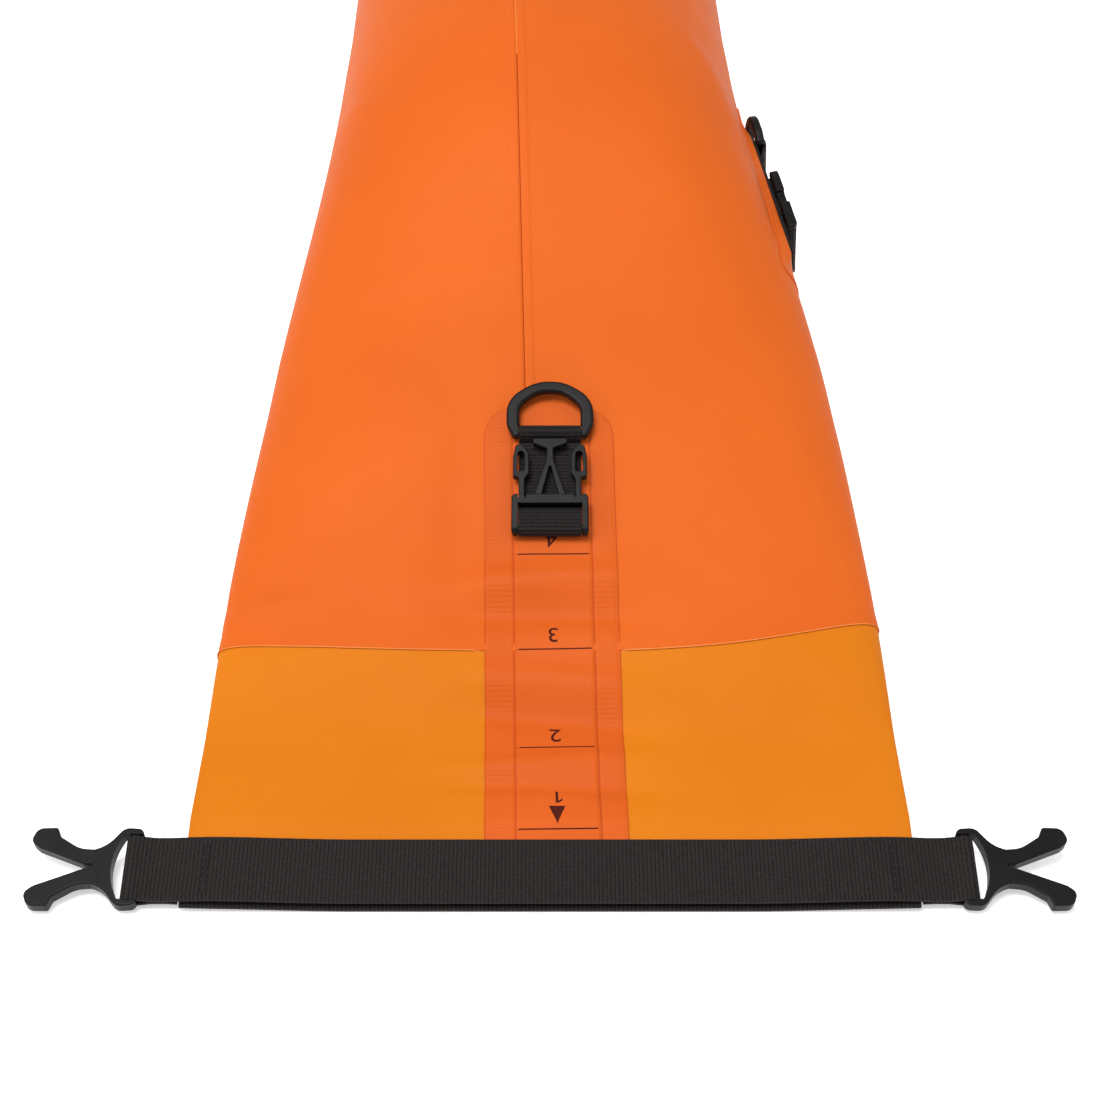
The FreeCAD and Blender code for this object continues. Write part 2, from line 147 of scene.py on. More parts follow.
def sag(x, v):
    return SAG * (1 - ease(70.0, 128.0, abs(x))) * (1 - ease(30.0, 90.0, v))


def outline(v, x=0.0):
    """Half width, middle height, half height, squareness and middle x of the soft bag at v."""
    wide, low, high, square, shift = section(v)
    half = mix((high - low) / 2, PRESSED_HALF, pressed(v))
    return wide, (low + high) / 2 - sag(x, v), half, square, shift


print("half height at the lip", outline(0.0)[2], "and at the base", outline(LENGTH)[2])


# %% [markdown]
# Coated fabric is never quite smooth. Slow noise gives soft hollows, and a few long creases run
# where the fabric was folded: each is a line across the bag's front, with a height and a width.
# The strip is stiffer, so it buckles into low waves of its own.

# %% Hollows, creases and waves
CREASES = [
    ((-68.0, 342.0), (-96.0, 378.0), 1.7, 7.0), ((64.0, 412.0), (90.0, 352.0), 1.7, 8.0),
    ((98.0, 352.0), (104.0, 312.0), -1.6, 9.0), ((-20.0, 300.0), (-92.0, 240.0), -1.0, 16.0),
    ((30.0, 240.0), (104.0, 186.0), -0.9, 15.0), ((-110.0, 150.0), (-40.0, 132.0), 0.8, 8.0),
    ((45.0, 150.0), (112.0, 128.0), 0.8, 9.0), ((40.0, 330.0), (84.0, 262.0), 1.0, 13.0),
    ((-132.0, 125.0), (-92.0, 131.0), 1.6, 3.5), ((-132.0, 135.0), (-96.0, 137.0), -1.2, 4.5),
    ((-34.0, 215.0), (-38.0, 110.0), -1.6, 9.0), ((-118.0, 84.0), (-50.0, 60.0), 0.8, 9.0),
    ((60.0, 92.0), (122.0, 74.0), 0.8, 7.0), ((70.0, 52.0), (120.0, 64.0), -0.6, 7.0)]


WAVE_SHARE = 1.35


def crease(x, v, line):
    (x0, v0), (x1, v1), height, width = line
    dx, dv = x1 - x0, v1 - v0
    along = ((x - x0) * dx + (v - v0) * dv) / (dx * dx + dv * dv)
    away = ((x - x0) * dv - (v - v0) * dx) / math.hypot(dx, dv)
    return height * math.exp(-(away / width) ** 2) * math.exp(-((along - 0.5) / 0.42) ** 4)


def waves(x, v):
    """Low waves across the strip, which is stiffer than the bag."""
    near = 1 - ease(STRIP_HALF - 4, STRIP_HALF + 26, abs(x))
    swell = (1.9 * math.exp(-((v - 134.0 - 0.05 * x) / 6.0) ** 2)
             - 2.2 * math.exp(-((v - 121.0) / 6.0) ** 2)
             + 1.7 * math.exp(-((v - 94.0 + 0.06 * x) / 6.0) ** 2)
             - 1.8 * math.exp(-((v - 80.0 + 0.1 * x) / 6.0) ** 2)
             + 1.3 * math.exp(-((v - 60.0 - 0.08 * x) / 4.5) ** 2)
             - 1.4 * math.exp(-((v - 49.0 + 0.05 * x) / 4.5) ** 2))
    return WAVE_SHARE * near * swell


def softness(x, v, upper):
    """How far the fabric stands off its section here."""
    place = Vector((x / 62.0, v / 92.0, 0.3 if upper else 4.1))
    slow = noise.noise(place) * 1.7 + noise.noise(place * 2.6) * 0.5
    fade = ease(60.0, 150.0, v) * (1 - ease(LENGTH - 45, LENGTH - 8, v))
    lift = slow * fade
    if upper:
        lift += sum(crease(x, v, line) for line in CREASES) + waves(x, v)
    return lift


def bag_point(angle, v, lift=0.0):
    """Point on the soft bag: angle runs round the section, v along the bag."""
    wide, _, _, square, shift = outline(v)
    c, s = math.cos(angle), math.sin(angle)
    x = shift + math.copysign(abs(c) ** (2 / square), c) * wide
    _, middle, half, _, _ = outline(v, x)
    z = math.copysign(abs(s) ** (2 / square), s) * half
    out = Vector((c * half + 1e-6 * c, 0, s * wide)).normalized()
    off = lift + softness(x, v, s > 0) * abs(s) ** 0.5
    x, z = x + out.x * off, middle + z + out.z * off
    return Vector((x * MM, LIP_Y + v * MM, max(z, 0.15 + lift) * MM))


def front_point(x, v, lift=0.0):
    """Point on the bag's front at x and v."""
    wide, middle, half, square, shift = outline(v, x)
    drop = max(1 - (abs(x - shift) / wide) ** square, 0.0) ** (1 / square)
    z = middle + half * drop + softness(x, v, True) + lift
    return Vector((x * MM, LIP_Y + v * MM, z * MM))


print("front at the strip's end", tuple(round(c, 4) for c in front_point(0.0, STRIP_END)))


# %% [markdown]
# Sheets of fabric all start as a flat grid. One helper makes the grid, lays a UV map in real
# metres on it, and moves each point to its place. Where a sheet goes all round the bag, the two
# edges that meet are merged.

# %% A sheet from a grid
def make_object(name, bm):
    mesh = bpy.data.meshes.new(name)
    bm.to_mesh(mesh)
    bm.free()
    mesh.shade_smooth()
    piece = bpy.data.objects.new(name, mesh)
    bpy.context.scene.collection.objects.link(piece)
    return piece


def sheet(name, across, along, counts, place, closed=False):
    """Grid over across (low, high) and along (low, high), put in place by place(u, v)."""
    bm = bmesh.new()
    bmesh.ops.create_grid(bm, x_segments=counts[0], y_segments=counts[1], size=1.0)
    uv = bm.loops.layers.uv.new("cloth")
    for face in bm.faces:
        for loop in face.loops:
            at = loop.vert.co
            u = mix(across[0], across[1], (at.x + 1) / 2)
            v = mix(along[0], along[1], (at.y + 1) / 2)
            loop[uv].uv = (u * MM, v * MM)
    for vert in bm.verts:
        u = mix(across[0], across[1], (vert.co.x + 1) / 2)
        v = mix(along[0], along[1], (vert.co.y + 1) / 2)
        vert.co = place(u, v)
    if closed:
        bmesh.ops.remove_doubles(bm, verts=bm.verts[:], dist=1e-6)
    return make_object(name, bm)


def thicken(piece, thick, offset=-1.0):
    wall = piece.modifiers.new("wall", "SOLIDIFY")
    wall.thickness = thick * MM
    wall.offset = offset
    return piece


def finish_mesh(piece):
    """Apply the modifiers, so that the mesh holds the final points."""
    depsgraph = bpy.context.evaluated_depsgraph_get()
    mesh = bpy.data.meshes.new_from_object(piece.evaluated_get(depsgraph))
    piece.modifiers.clear()
    piece.data = mesh
    mesh.set_sharp_from_angle(angle=math.radians(50))
    return piece


def outward(piece):
    """Turn the faces of an open sheet so that they point away from the bag's middle line."""
    line = Vector((0, 0, 5 * MM))
    total = sum((f.center - line).dot(Vector((f.normal.x, 0, f.normal.z)))
                for f in piece.data.polygons)
    if total < 0:
        piece.data.flip_normals()
    return piece


def make_fabric(piece, material, thick=0.5):
    """Turn a sheet that lies on the bag into fabric of that thickness and finish."""
    outward(piece)
    thicken(piece, thick)
    finish_mesh(piece)
    piece.data.materials.append(material)
    return piece


# %% [markdown]
# Node materials are short to write with a helper that adds a node and links it. The noise, wave
# and bump nodes are all in real sizes, because Object coordinates and the cloth UV are metres.

# %% Material helpers
class Finish:
    """A node material with a principled shader."""

    def __init__(self, name, roughness, **sockets):
        self.material = bpy.data.materials.new(name)
        self.material.use_nodes = True
        self.nodes = self.material.node_tree.nodes
        self.links = self.material.node_tree.links
        self.shader = self.nodes["Principled BSDF"]
        self.shader.inputs["Roughness"].default_value = roughness
        for socket, value in sockets.items():
            self.shader.inputs[socket.replace("_", " ")].default_value = value

    def add(self, kind, inputs=None, **settings):
        node = self.nodes.new(kind)
        for key, value in settings.items():
            setattr(node, key, value)
        for socket, value in (inputs or {}).items():
            if isinstance(value, bpy.types.NodeSocket):
                self.links.new(value, node.inputs[socket])
            else:
                node.inputs[socket].default_value = value
        return node

    def link(self, source, socket):
        self.links.new(source, self.shader.inputs[socket])

    def place(self):
        return self.add("ShaderNodeTexCoord").outputs["Object"]

    def cloth(self):
        return self.add("ShaderNodeUVMap", uv_map="cloth").outputs["UV"]

    def noise(self, vector, scale, detail=3.0):
        node = self.add("ShaderNodeTexNoise", {"Vector": vector, "Scale": scale, "Detail": detail})
        return node.outputs["Fac"]

    def ramp(self, fac, stops):
        node = self.add("ShaderNodeValToRGB", {"Fac": fac})
        node.color_ramp.elements[0].position = stops[0][0]
        node.color_ramp.elements[1].position = stops[-1][0]
        node.color_ramp.elements[0].color = (*stops[0][1], 1)
        node.color_ramp.elements[1].color = (*stops[-1][1], 1)
        for position, colour in stops[1:-1]:
            node.color_ramp.elements.new(position).color = (*colour, 1)
        return node.outputs["Color"]

    def math(self, operation, a, b=0.0):
        return self.add("ShaderNodeMath", {0: a, 1: b}, operation=operation).outputs[0]

    def bump(self, height, distance, strength=1.0, before=None):
        inputs = {"Height": height, "Distance": distance, "Strength": strength}
        if before:
            inputs["Normal"] = before
        return self.add("ShaderNodeBump", inputs).outputs["Normal"]


# %% [markdown]
# The bag is a woven fabric with a smooth coating on it. Three things show: a slow drift of the
# colour, a very fine weave that prints through the coating, and a soft, broken gloss. The weave is
# the sum of two sets of fine waves on the cloth UV.

# %% Coated fabric
WEAVE_PITCH = 0.55 * MM


def weave(finish, uv, pitch=WEAVE_PITCH):
    split = finish.add("ShaderNodeSeparateXYZ", {"Vector": uv})
    turn = 2 * math.pi / pitch
    warp = finish.math("SINE", finish.math("MULTIPLY", split.outputs["X"], turn))
    weft = finish.math("SINE", finish.math("MULTIPLY", split.outputs["Y"], turn))
    return finish.math("MULTIPLY", finish.math("ADD", warp, weft), 0.5)


def coated_fabric(name, dark, light, roughness=0.55):
    finish = Finish(name, roughness, Specular_IOR_Level=0.07)
    place = finish.place()
    slow = finish.noise(place, 9.0)
    finish.link(finish.ramp(slow, [(0.3, dark), (0.7, light)]), "Base Color")
    gloss = finish.noise(place, 60.0, 4.0)
    finish.link(finish.math("ADD", finish.math("MULTIPLY", gloss, 0.14), roughness - 0.07), "Roughness")
    grain = finish.bump(finish.noise(place, 900.0), 0.05 * MM, 0.35)
    rumple = finish.bump(finish.noise(place, 26.0, 2.0), 0.8 * MM, 0.28, grain)
    finish.link(finish.bump(weave(finish, finish.cloth()), 0.03 * MM, 0.5, rumple), "Normal")
    return finish.material


orange = coated_fabric("orange_coated_fabric", (0.585, 0.103, 0.011), (0.64, 0.118, 0.014))
amber = coated_fabric("amber_coated_fabric", (0.57, 0.153, 0.005), (0.62, 0.176, 0.007))
# painted shade: a dark fabric for the thin line of shade laid along the long seam
shade = coated_fabric("painted_line_shade", (0.26, 0.024, 0.002), (0.32, 0.032, 0.003), 0.7)
pale = coated_fabric("raw_fabric_edge", (0.66, 0.18, 0.04), (0.72, 0.22, 0.06), 0.7)
print("fabrics", orange.name, amber.name, shade.name, pale.name)

# %% [markdown]
# The welded strip is the same orange, a little redder. Welding rollers press fine ribs across its
# two margins, and a smooth column is left between them for the printed scale. The mask on the
# cloth UV says where the margins are. Thin dark lines of painted shade lie in the grooves beside
# the column and along the strip's outer edges.

# %% Welded strip
RIB_PITCH = 1.5 * MM
LINE_SHADE = 0.45


def welded_fabric():
    finish = Finish("welded_strip", 0.5, Specular_IOR_Level=0.09)
    place = finish.place()
    tint = finish.noise(place, 14.0)
    base = finish.ramp(tint, [(0.3, (0.545, 0.088, 0.009)), (0.7, (0.60, 0.102, 0.012))])
    uv = finish.cloth()
    split = finish.add("ShaderNodeSeparateXYZ", {"Vector": uv})
    centred = finish.math("ABSOLUTE", finish.math("SUBTRACT", split.outputs["X"], COLUMN_SHIFT * MM))
    # painted shade: a thin dark line in each groove beside the column, and one along each outer edge of
    # the strip
    groove_shade = finish.math("COMPARE", centred, (COLUMN_HALF + 0.8) * MM)
    groove_shade.node.inputs[2].default_value = 0.35 * MM
    aside = finish.math("ABSOLUTE", split.outputs["X"])
    edge = finish.math("GREATER_THAN", aside, (STRIP_HALF - 0.4) * MM)
    painted_line_shade = finish.math("MULTIPLY", finish.math("MAXIMUM", groove_shade, edge), LINE_SHADE)
    # the painted shade lines darken the strip's colour towards this dark red
    dark = finish.add("ShaderNodeMix", {0: painted_line_shade, 6: base}, data_type="RGBA")
    dark.inputs[7].default_value = (0.30, 0.022, 0.002, 1)
    finish.link(dark.outputs[2], "Base Color")
    margin = finish.math("GREATER_THAN", centred, (COLUMN_HALF + 1.2) * MM)
    inside = finish.math("LESS_THAN", aside, (STRIP_HALF - 1.4) * MM)
    ribs = finish.math("SINE", finish.math("MULTIPLY", split.outputs["Y"], 2 * math.pi / RIB_PITCH))
    height = finish.math("MULTIPLY", ribs, finish.math("MULTIPLY", margin, inside))
    soft = finish.bump(finish.noise(place, 30.0, 2.0), 0.8 * MM, 0.35)
    pressed_ribs = finish.bump(height, 0.1 * MM, 0.35, soft)
    finish.link(finish.bump(weave(finish, uv), 0.03 * MM, 0.45, pressed_ribs), "Normal")
    return finish.material


welded = welded_fabric()

# %% [markdown]
# Webbing is woven nylon. Its ribs are modelled, so the material only adds the yarns: short stitches
# along each rib, a dusty sheen, and a painted highlight that makes the top of every rib slightly lighter.

# %% Webbing
WEB_PITCH = 1.45


def webbing_finish():
    finish = Finish("black_webbing", 0.72,
                    Specular_IOR_Level=0.12, Sheen_Weight=0.05, Sheen_Roughness=0.4)
    uv = finish.cloth()
    split = finish.add("ShaderNodeSeparateXYZ", {"Vector": uv})
    yarn = finish.math("SINE", finish.math("MULTIPLY", split.outputs["X"], 2 * math.pi / (0.9 * MM)))
    rib = finish.math("SINE", finish.math("MULTIPLY", split.outputs["Y"], 2 * math.pi / (WEB_PITCH * MM)))
    fuzz = finish.noise(finish.place(), 1400.0, 2.0)
    # the rib term is a painted highlight on the top of every rib; the fuzz is random tone
    shade = finish.math("ADD", finish.math("MULTIPLY", rib, 0.22), finish.math("MULTIPLY", fuzz, 0.9))
    colour = finish.ramp(shade, [(0.15, (0.004, 0.003, 0.003)), (0.8, (0.024, 0.020, 0.019))])
    finish.link(colour, "Base Color")
    fine = finish.bump(fuzz, 0.12 * MM, 0.5)
    finish.link(finish.bump(yarn, 0.1 * MM, 0.5, fine), "Normal")
    return finish.material


webbing = webbing_finish()
print("webbing", webbing.name)

# %% [markdown]
# Moulded plastic: dark grey nylon with a fine spark-eroded grain, a little glossier where it is
# handled. Bare CAD nodes have no UV, so everything reads Object coordinates.

# %% Moulded plastic, print and thread
def moulded_plastic():
    finish = Finish("black_moulded_plastic", 0.4, Specular_IOR_Level=0.12)
    place = finish.place()
    tone = finish.noise(place, 45.0)
    greys = [(0.3, (0.006, 0.006, 0.006)), (0.7, (0.010, 0.009, 0.009))]
    finish.link(finish.ramp(tone, greys), "Base Color")
    handled = finish.noise(place, 110.0)
    finish.link(finish.math("ADD", finish.math("MULTIPLY", handled, 0.22), 0.27), "Roughness")
    finish.link(finish.bump(finish.noise(place, 3200.0, 2.0), 0.02 * MM, 0.5), "Normal")
    return finish.material


def plain_finish(name, dark, light, roughness, scale):
    finish = Finish(name, roughness, Specular_IOR_Level=0.08)
    place = finish.place()
    finish.link(finish.ramp(finish.noise(place, scale), [(0.3, dark), (0.7, light)]), "Base Color")
    finish.link(finish.bump(finish.noise(place, scale * 4), 0.03 * MM, 0.4), "Normal")
    return finish.material


plastic = moulded_plastic()
ink = plain_finish("dark_brown_print", (0.045, 0.006, 0.004), (0.075, 0.010, 0.006), 0.7, 300.0)
thread = plain_finish("black_thread", (0.005, 0.005, 0.005), (0.014, 0.012, 0.012), 0.7, 900.0)
strip_plastic = plain_finish("plain_strip_plastic", (0.05, 0.05, 0.05), (0.09, 0.09, 0.09), 0.5, 200.0)
print("plain finishes", plastic.name, ink.name, thread.name, strip_plastic.name)

# %% [markdown]
# The tube starts at the colour seam, which isn't quite square to the bag: it climbs to the right.
# The grid's along value runs from 0 at the seam to 1 at the base, and its across value is the
# angle round the bag. The UV would be in angles, so it is rewritten in metres afterwards.

# %% The tube
TURN = 2 * math.pi
SEAM_AT = 105.0


def seam_v(x):
    side = abs(x) / HALF_WIDTH
    return SEAM_AT + 0.5 + (19.0 * side ** 1.7 if x > 0 else 7.5 * side ** 1.5)


def cloth_scale(piece, across, along):
    """Stretch a sheet's UV from its own numbers to metres."""
    for loop in piece.data.uv_layers["cloth"].data:
        loop.uv = (loop.uv[0] * across, loop.uv[1] * along)
    return piece


def tube_place(angle, share):
    start = seam_v(HALF_WIDTH * math.cos(angle))
    v = mix(start, LENGTH - 1.5, share)
    overlap = 0.45 * (1 - ease(0.0, 0.02, share))
    return bag_point(angle, v, overlap)


tube = sheet("tube_fabric", (0, TURN), (0, 1), (220, 190), tube_place, closed=True)
cloth_scale(tube, ROUND_RADIUS, LENGTH - SEAM_AT)
make_fabric(tube, orange)
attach(tube, "bag")
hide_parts("body_tube")
print("tube", len(tube.data.polygons), "faces")

# %% [markdown]
# The collar has to roll, so it is cut in two half way between the fold lines. The fabric ends a
# little inside the lip, where the webbing covers it.

# %% The collar
LIP_INSET = 2.5


def fold_place(v):
    return front_point(0, v)


def bend_first(piece):
    """Work out two unused points near the first fold, and bake the piece's transform into its mesh."""
    fold_place(26)
    fold_place(40)
    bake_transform(piece)


def bend_second(piece):
    """Work out two unused points near the second fold, and bake the piece's transform into its mesh."""
    fold_place(56)
    fold_place(86)
    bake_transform(piece)


def collar_place(angle, share):
    end = seam_v(HALF_WIDTH * math.cos(angle)) + 5.0
    return bag_point(angle, mix(BAND_MIDDLE, end, share))


def mouth_place(angle, share):
    return bag_point(angle, mix(LIP_INSET, BAND_MIDDLE, share))


collar = sheet("collar_fabric", (0, TURN), (0, 1), (220, 30), collar_place, closed=True)
cloth_scale(collar, ROUND_RADIUS, 62)
make_fabric(collar, amber)
bend_second(collar)
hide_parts("collar")

mouth = sheet("mouth_fabric", (0, TURN), (0, 1), (220, 30), mouth_place, closed=True)
cloth_scale(mouth, ROUND_RADIUS, BAND_MIDDLE)
make_fabric(mouth, amber)
bend_first(mouth)
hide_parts("mouth_hem", "fold_band")
print("collar", len(collar.data.polygons), "mouth", len(mouth.data.polygons), "faces")

# %% [markdown]
# The strip is one layer welded on top. Its cross-section has a raised column in the middle with a
# groove each side, and pressed margins that thin towards the edge. The far end is rounded, so the
# half width shrinks there along a curve.

# %% The welded strip
STRIP_ROUND = 15.0


def strip_x(v):
    """Middle of the strip, which was welded on slightly askew."""
    return 2.9 - 0.018 * v


def strip_height(x):
    aside = abs(x - COLUMN_SHIFT)
    column = 0.3 * (1 - ease(COLUMN_HALF - 0.5, COLUMN_HALF + 0.3, aside))
    groove = 0.3 * math.exp(-((aside - COLUMN_HALF - 0.9) / 0.55) ** 2)
    rim = 0.25 * ease(STRIP_HALF - 1.6, STRIP_HALF - 1.0, abs(x))
    return 0.55 + column - groove - 0.9 * rim


def strip_half_at(v):
    left = (STRIP_END - v) / STRIP_ROUND
    return STRIP_HALF if left >= 1 else STRIP_HALF * (1 - (1 - left) ** 2.6) ** (1 / 2.6)


def strip_place(x, v):
    x = x * max(strip_half_at(min(v, STRIP_END - 0.05)) / STRIP_HALF, 0.02)
    return front_point(strip_x(v) + x, v, strip_height(x))


def make_strip(name, v0, v1, rows):
    piece = sheet(name, (-STRIP_HALF, STRIP_HALF), (v0, v1), (105, rows), strip_place)
    print(name, "from", v0, "to", v1)
    return make_fabric(piece, welded)


strip_lower = make_strip("strip_lower", 24.0, BAND_MIDDLE, 24)
bend_first(strip_lower)
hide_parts("strip_mouth", "strip_fold")
strip_upper = make_strip("strip_upper", BAND_MIDDLE, STRIP_END, 150)
bend_second(strip_upper)
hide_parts("strip_main")

# %% [markdown]
# Where the tube laps over the collar, the cut edge of the fabric shows as a thin pale line. It is a
# narrow sheet that goes all round the bag, and it dips under the welded strip.

# %% The cut edge at the colour seam
def edge_place(angle, across):
    v = seam_v(HALF_WIDTH * math.cos(angle)) + across
    x = bag_point(angle, v).x / MM
    under = 1.2 * (1 - ease(STRIP_HALF - 1.0, STRIP_HALF + 2.5, abs(x - strip_x(v))))
    return bag_point(angle, v, 0.5 + 0.12 * math.cos(across * math.pi / 0.8) - under)


cut_edge = sheet("collar_cut_edge", (0, TURN), (-0.3, 0.15), (220, 4), edge_place, closed=True)
cloth_scale(cut_edge, ROUND_RADIUS, 1)
make_fabric(cut_edge, pale, 0.15)
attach(cut_edge, "bag")
print("cut edge", len(cut_edge.data.polygons), "faces")

# %% [markdown]
# The scale tells how many turns the roll has had. Each mark is a printed line with its number,
# read from the base, and the first has a small triangle. Numbers come from text objects turned into
# meshes, laid flat at their place, and dropped on the strip. The 1 is drawn from two flat outlines,
# because it has a short flag and no foot.

# %% The printed scale
MARKS = [(1, 28.6), (2, 66.8), (3, 106.0), (4, 144.3)]
MARK_X = 0.4
DIGIT_HEIGHT = 6.5
STROKE = 0.95


def print_point(x, v):
    """Point on the ink, x measured from the strip's middle."""
    return front_point(strip_x(v) + x, v, strip_height(x) + 0.07)


def add_line(bm, v):
    grid = bmesh.ops.create_grid(bm, x_segments=24, y_segments=1, size=1.0)
    for vert in grid["verts"]:
        x = 0.6 + vert.co.x * 14.5
        vert.co = print_point(x, v + vert.co.y * 0.25 + 0.014 * x)


def join(bm, flat, place):
    """Add a flat mesh to bm, with each of its points moved by place(x, y)."""
    part = bmesh.new()
    part.from_mesh(flat)
    for vert in part.verts:
        vert.co = place(vert.co.x, vert.co.y)
    part.to_mesh(flat)
    part.free()
    bm.from_mesh(flat)


def add_shapes(bm, outlines, v):
    """Flat outlines, divided finely enough to lie on the waves, with their foot at v."""
    part = bmesh.new()
    for corners in outlines:
        part.faces.new([part.verts.new((x, y, 0)) for x, y in corners])
    bmesh.ops.subdivide_edges(part, edges=part.edges[:], cuts=5, use_grid_fill=True)
    flat = bpy.data.meshes.new("shapes")
    part.to_mesh(flat)
    part.free()
    join(bm, flat, lambda x, y: print_point(MARK_X + x, v + y))


TRIANGLE = ((-3.0, 8.0), (0.0, 0.0), (3.0, 8.0))
STEM = ((-STROKE / 2, 0), (STROKE / 2, 0), (STROKE / 2, DIGIT_HEIGHT), (-STROKE / 2, DIGIT_HEIGHT))
FLAG = ((STROKE / 2, 0), (STROKE / 2, STROKE), (2.1, 2.2), (2.1, 1.2))


def add_digit(bm, digit, v):
    """One number, upside down to someone at the mouth, starting at v."""
    curve = bpy.data.curves.new("digit", "FONT")
    curve.body = str(digit)
    curve.size = 1.0
    curve.align_x = "CENTER"
    text = bpy.data.objects.new("digit", curve)
    bpy.context.scene.collection.objects.link(text)
    depsgraph = bpy.context.evaluated_depsgraph_get()
    flat = bpy.data.meshes.new_from_object(text.evaluated_get(depsgraph))
    bpy.data.objects.remove(text)
    tall = max(p.co.y for p in flat.vertices)
    middle = (max(p.co.x for p in flat.vertices) + min(p.co.x for p in flat.vertices)) / 2
    scale = DIGIT_HEIGHT / tall

    def place(x, y):
        return print_point(MARK_X - (x - middle) * scale * 1.05, v + (tall - y) * scale)

    join(bm, flat, place)


def make_print(name, marks):
    bm = bmesh.new()
    for digit, v in marks:
        add_line(bm, v)
        if digit == 1:
            add_shapes(bm, [TRIANGLE], v + 2.2)
            add_shapes(bm, [STEM, FLAG], v + 11.8)
        else:
            add_digit(bm, digit, v + 2.8)
    bmesh.ops.recalc_face_normals(bm, faces=bm.faces[:])
    piece = make_object(name, bm)
    if sum(f.normal.z for f in piece.data.polygons) < 0:
        piece.data.flip_normals()
    thicken(piece, 0.05)
    finish_mesh(piece)
    piece.data.materials.append(ink)
    print(name, len(piece.data.polygons), "faces")
    return piece


bend_first(make_print("scale_print_lower", MARKS[:1]))
bend_second(make_print("scale_print_upper", MARKS[1:]))

# %% [markdown]
# The long seam is a narrow weld: two thicknesses of fabric with a pressed line down the middle. It
# drifts slightly to the left towards the base. A thin dark sheet of painted shade lies along the
# line from the strip's end, and a pale raw edge lies along its last part towards the base.

# %% The long seam
def seam_x(v):
    return mix(-10.2, -20.4, (v - STRIP_END) / (LENGTH - STRIP_END))


def seam_place(across, v):
    x = seam_x(v) + across
    step = 0.5 * (1 - ease(3.4, 4.2, abs(across)))
    line = 0.45 * math.exp(-(across / 0.5) ** 2)
    return front_point(x, v, 0.08 + step * 0.6 - line)


seam = sheet("long_seam", (-4.4, 4.4), (STRIP_END - 3, LENGTH - 3), (28, 170), seam_place)
make_fabric(seam, orange, 0.3)
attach(seam, "bag")
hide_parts("front_seam")


def seam_line_place(across, v):
    return front_point(seam_x(v) + 0.2 + across, v, 0.16)


# The first line is a thin dark sheet of painted shade on the seam; the second is the pale raw edge.
SEAM_LINES = [
    ("long_seam_shadow", 0.18, STRIP_END, 362.0, shade),
    ("long_seam_edge", 0.2, 362.0, 536.0, pale)]
for name, half, v0, v1, material in SEAM_LINES:
    line = sheet(name, (-half, half), (v0, v1), (2, 120), seam_line_place)
    make_fabric(line, material, 0.1)
    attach(line, "bag")
    print(name, len(line.data.polygons), "faces")

# %% [markdown]
# The base is a round panel welded into the tube. It bulges a little, with soft pleats near its rim,
# and the weld makes a flat band round the end. Both follow the tube's last section.

# %% The base
def base_place(angle, share):
    rim = bag_point(angle, LENGTH - 1.5, -0.4)
    _, centre, _, _, shift = outline(LENGTH)
    middle = Vector((shift * MM, rim.y, centre * MM))
    at = middle.lerp(rim, max(share, 0.001))
    pleat = 0.35 * math.sin(angle * 18) * ease(0.82, 0.96, share) * (1 - ease(0.97, 1.0, share))
    inset = -5.0 * (1 - ease(0.90, 1.0, share)) + 2.2 * (1 - share * share) + pleat
    return at + Vector((0, inset * MM, 0))


base = sheet("base_panel", (0, TURN), (0, 1), (180, 40), base_place, closed=True)
cloth_scale(base, ROUND_RADIUS, ROUND_RADIUS)
thicken(base, 0.5, 0.0)
finish_mesh(base)
base.data.materials.append(orange)
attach(base, "bag")
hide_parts("base_disc")


def rim_place(angle, across):
    groove = 0.3 * math.exp(-((abs(across) - 3.6) / 0.5) ** 2)
    lift = 0.75 - 0.5 * ease(5.0, 6.0, abs(across)) - groove
    return bag_point(angle, LENGTH - 6.6 + across, lift)


rim = sheet("base_rim", (0, TURN), (-6.0, 6.0), (220, 24), rim_place, closed=True)
cloth_scale(rim, ROUND_RADIUS, 1)
make_fabric(rim, orange)
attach(rim, "bag")
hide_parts("base_rim_band")
print("base", len(base.data.polygons), "rim", len(rim.data.polygons), "faces")

# %% [markdown]
# Webbing is a ribbon that follows a path. The path is a list of points in a plane, smoothed into
# even steps, and the ribbon is a grid whose rows follow it. Five rows to a rib are enough for a
# sine wave, which gives ribs of real shape.

# %% Ribbons
WEB_THICK = 1.15
ROWS_PER_RIB = 5


def even_path(points, step):
    """Points along a polyline at even steps, with the direction at each."""
    lengths = [math.dist(a, b) for a, b in zip(points, points[1:])]
    total = sum(lengths)
    count = max(int(total / step), 2)
    path, k, gone = [], 0, 0.0
    for i in range(count + 1):
        want = total * i / count
        while k < len(lengths) - 1 and gone + lengths[k] < want:
            gone += lengths[k]
            k += 1
        t = (want - gone) / lengths[k]
        a, b = points[k], points[k + 1]
        path.append((mix(a[0], b[0], t), mix(a[1], b[1], t)))
    return path, total


def smooth_path(path, rounds):
    for _ in range(rounds):
        inner = [((a[0] + 2 * b[0] + c[0]) / 4, (a[1] + 2 * b[1] + c[1]) / 4)
                 for a, b, c in zip(path, path[1:], path[2:])]
        path = [path[0]] + inner + [path[-1]]
    return path


def arc_points(centre, radius, start, end, count=14):
    return [(centre[0] + radius * math.cos(math.radians(mix(start, end, k / count))),
             centre[1] + radius * math.sin(math.radians(mix(start, end, k / count))))
            for k in range(count + 1)]


